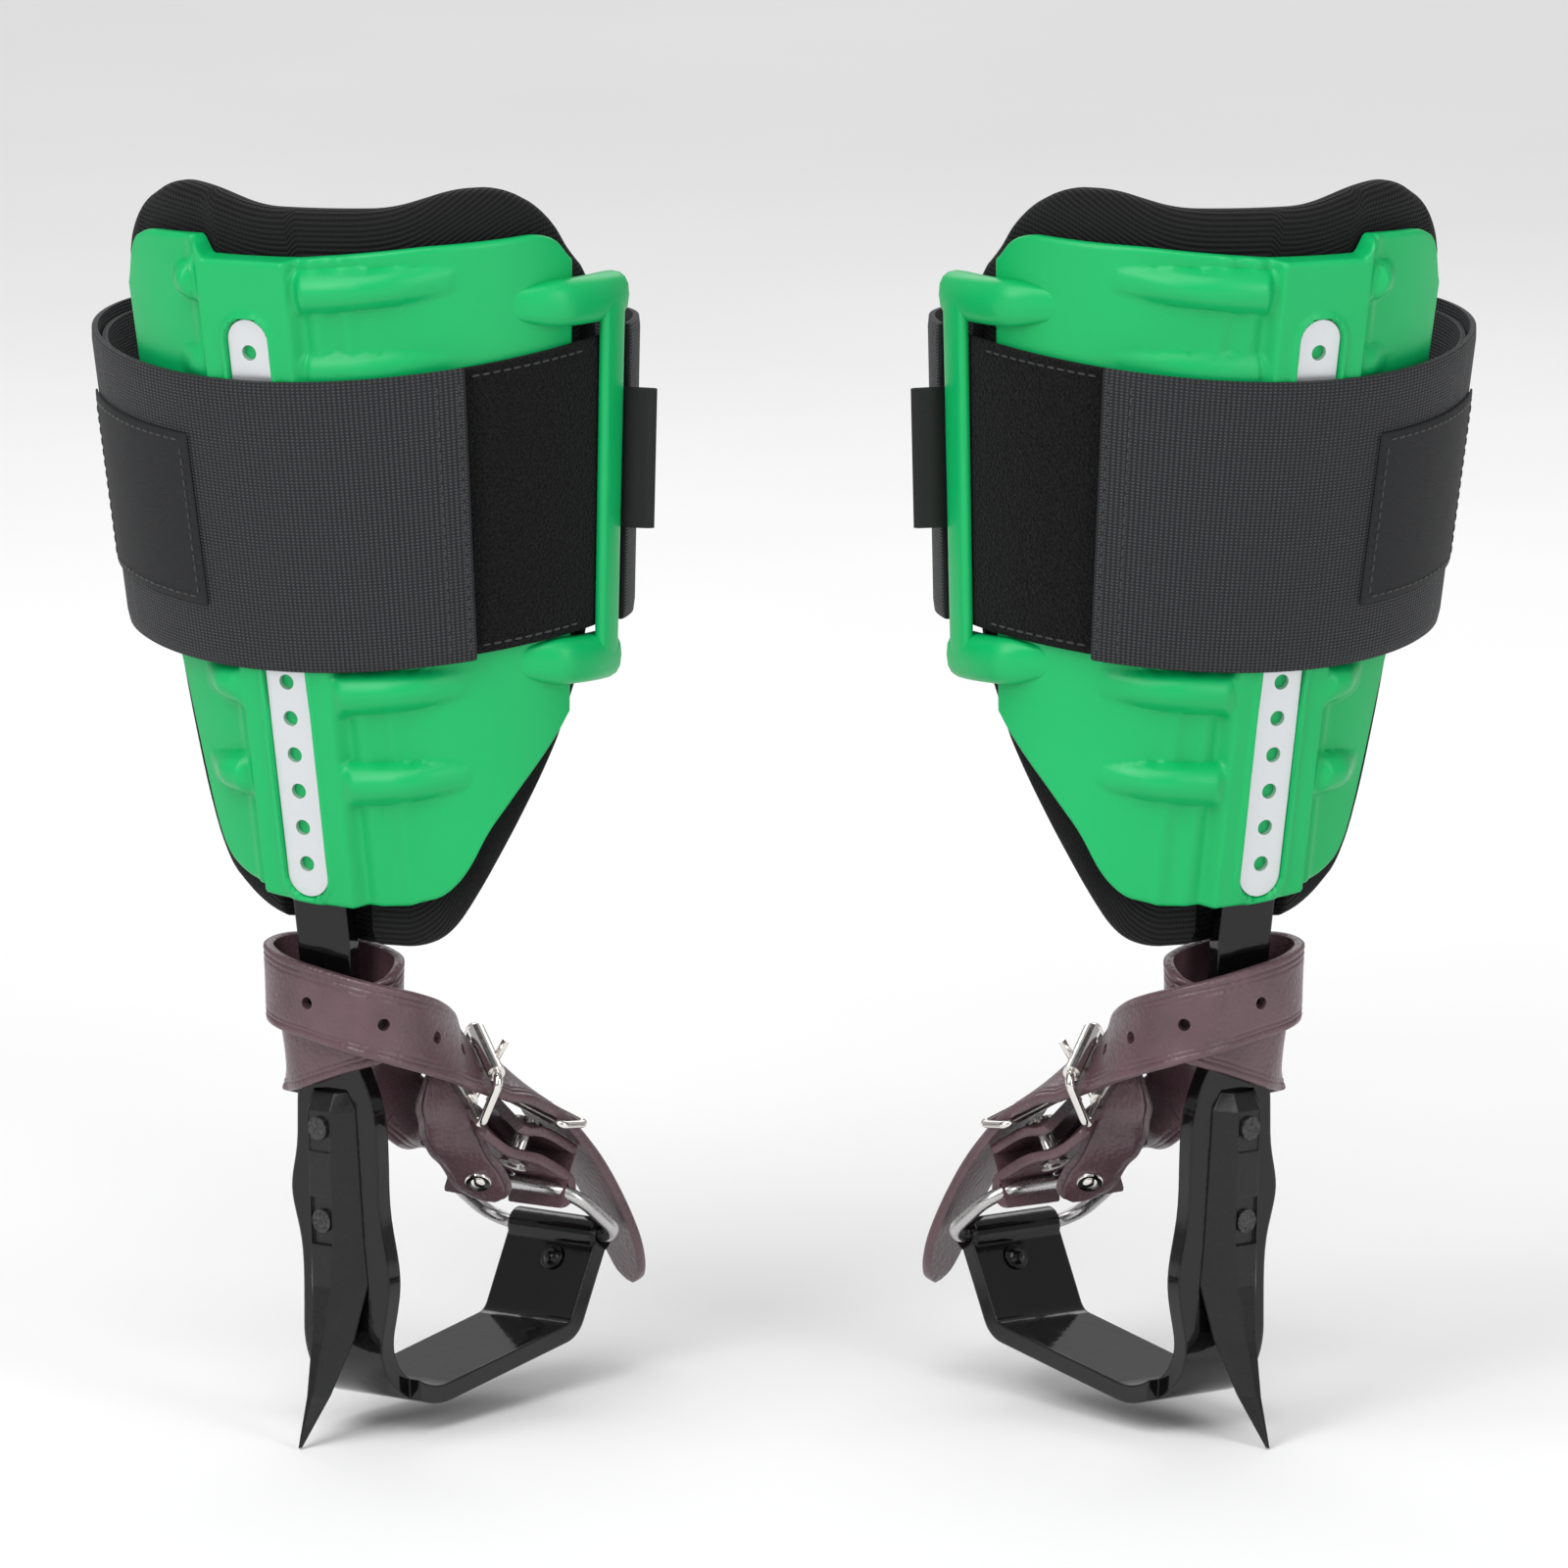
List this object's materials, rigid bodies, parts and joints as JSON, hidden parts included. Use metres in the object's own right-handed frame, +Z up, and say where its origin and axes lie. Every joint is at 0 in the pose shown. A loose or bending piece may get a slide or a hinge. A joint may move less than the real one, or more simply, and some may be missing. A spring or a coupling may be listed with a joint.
{
  "type": "tree climbing spurs",
  "caption": "Pair of tree climbing spurs with green moulded calf cuffs, padded liners, wide calf straps, buckled ankle straps and steel spikes",
  "frame": {"origin": "middle of the left stirrup, on the face the boot rests on", "axes": "+X from the left spur to the right spur, +Y level and square to that, away from the side the spikes point to, +Z up the legs"},
  "size_m": [0.4596, 0.1686, 0.4265],
  "materials": {
    "black_steel": "glossy black paint over forged steel",
    "spike_steel": "semi-gloss black paint over forged steel",
    "screw_steel": "blackened steel, worn bright at the edges",
    "green_plastic": "satin moulded nylon",
    "strip_metal": "satin nickel-plated steel",
    "pad_knit": "black ribbed knit over foam",
    "webbing": "ribbed charcoal nylon webbing, 100 mm wide",
    "loop_fabric": "brushed loop pile",
    "hook_tape": "woven hook tape",
    "patch_cloth": "close woven cloth, blank",
    "tag_cloth": "folded woven tag, blank",
    "brown_strap": "grained purple-brown leather-like strap with grooved edges",
    "nickel": "polished nickel plate",
    "ring_steel": "satin steel wire"
  },
  "bodies": {
    "left_spur": {"left_leg_iron": "black_steel", "left_gaff": "spike_steel", "left_gaff_screws": "screw_steel", "left_eye_rivet": "black_steel", "left_ankle_strap": "brown_strap"},
    "left_cuff": {"left_cuff_shell": "green_plastic", "left_adjuster_strip": "strip_metal", "left_backing_plate": "screw_steel", "left_cuff_bolts": "screw_steel", "left_cuff_nuts": "screw_steel", "left_calf_pad": "pad_knit", "left_calf_strap": "webbing", "left_loop_panel": "loop_fabric", "left_strap_lining": "webbing", "left_strap_patch": "patch_cloth", "left_strap_tag": "tag_cloth"},
    "left_strap_end": {"left_calf_strap_end": "webbing", "left_hook_tape": "hook_tape"},
    "left_ring": {"left_ankle_ring": "ring_steel", "left_strap_anchor": "brown_strap", "left_buckle_chape": "brown_strap", "left_strap_rivets": "nickel", "left_buckle_guard": "brown_strap", "left_buckle_frame": "nickel", "left_ankle_strap_front": "brown_strap"},
    "left_roller": {"left_buckle_roller": "nickel"},
    "left_tongue": {"left_buckle_tongue": "nickel"},
    "left_tail": {"left_strap_tail": "brown_strap", "left_keeper_loop": "nickel"},
    "right_spur": {"right_leg_iron": "black_steel", "right_gaff": "spike_steel", "right_gaff_screws": "screw_steel", "right_eye_rivet": "black_steel", "right_ankle_strap": "brown_strap"},
    "right_cuff": {"right_cuff_shell": "green_plastic", "right_adjuster_strip": "strip_metal", "right_backing_plate": "screw_steel", "right_cuff_bolts": "screw_steel", "right_cuff_nuts": "screw_steel", "right_calf_pad": "pad_knit", "right_calf_strap": "webbing", "right_loop_panel": "loop_fabric", "right_strap_lining": "webbing", "right_strap_patch": "patch_cloth", "right_strap_tag": "tag_cloth"},
    "right_strap_end": {"right_calf_strap_end": "webbing", "right_hook_tape": "hook_tape"},
    "right_ring": {"right_ankle_ring": "ring_steel", "right_strap_anchor": "brown_strap", "right_buckle_chape": "brown_strap", "right_strap_rivets": "nickel", "right_buckle_guard": "brown_strap", "right_buckle_frame": "nickel", "right_ankle_strap_front": "brown_strap"},
    "right_roller": {"right_buckle_roller": "nickel"},
    "right_tongue": {"right_buckle_tongue": "nickel"},
    "right_tail": {"right_strap_tail": "brown_strap", "right_keeper_loop": "nickel"}
  },
  "joints": [
    {"name": "left_cuff_height", "type": "slide", "parent": "left_spur", "child": "left_cuff", "axis": [-0.1008, -0.112, 0.9886], "range_m": [0, 0.0762]},
    {"name": "left_strap_peel", "type": "hinge", "parent": "left_cuff", "child": "left_strap_end", "pos_m": [-0.07195, -0.06173, 0.29428], "axis": [0.1008, 0.112, -0.9886], "range_deg": [0, 75]},
    {"name": "left_ring_swing", "type": "hinge", "parent": "left_spur", "child": "left_ring", "pos_m": [0.0343, 0.04317, 0.0319], "axis": [-0.771, 0.6361, -0.0318], "range_deg": [-2, 6]},
    {"name": "left_roller_spin", "type": "hinge", "parent": "left_ring", "child": "left_roller", "pos_m": [0.01057, -0.01725, 0.10622], "axis": [-0.2765, 0.8759, 0.3954], "continuous": true},
    {"name": "left_tongue_lift", "type": "hinge", "parent": "left_ring", "child": "left_tongue", "pos_m": [0.00413, -0.01176, 0.08954], "axis": [-0.2765, 0.8759, 0.3954], "range_deg": [0, 20]},
    {"name": "left_tail_swing", "type": "hinge", "parent": "left_ring", "child": "left_tail", "pos_m": [0.01143, -0.01267, 0.09852], "axis": [-0.2765, 0.8759, 0.3954], "range_deg": [-8, 0]},
    {"name": "right_cuff_height", "type": "slide", "parent": "right_spur", "child": "right_cuff", "axis": [0.1008, -0.112, 0.9886], "range_m": [0, 0.0762]},
    {"name": "right_strap_peel", "type": "hinge", "parent": "right_cuff", "child": "right_strap_end", "pos_m": [0.29097, -0.06173, 0.29428], "axis": [0.1008, -0.112, 0.9886], "range_deg": [0, 75]},
    {"name": "right_ring_swing", "type": "hinge", "parent": "right_spur", "child": "right_ring", "pos_m": [0.18472, 0.04317, 0.0319], "axis": [-0.771, -0.6361, 0.0318], "range_deg": [-2, 6]},
    {"name": "right_roller_spin", "type": "hinge", "parent": "right_ring", "child": "right_roller", "pos_m": [0.20844, -0.01725, 0.10622], "axis": [-0.2765, -0.8759, -0.3954], "continuous": true},
    {"name": "right_tongue_lift", "type": "hinge", "parent": "right_ring", "child": "right_tongue", "pos_m": [0.21488, -0.01176, 0.08954], "axis": [-0.2765, -0.8759, -0.3954], "range_deg": [0, 20]},
    {"name": "right_tail_swing", "type": "hinge", "parent": "right_ring", "child": "right_tail", "pos_m": [0.20759, -0.01267, 0.09852], "axis": [-0.2765, -0.8759, -0.3954], "range_deg": [-8, 0]},
    {"name": "right_spur_apart", "type": "slide", "parent": "left_spur", "child": "right_spur", "axis": [1, 0, 0], "range_m": [0, 0.15]}
  ]
}
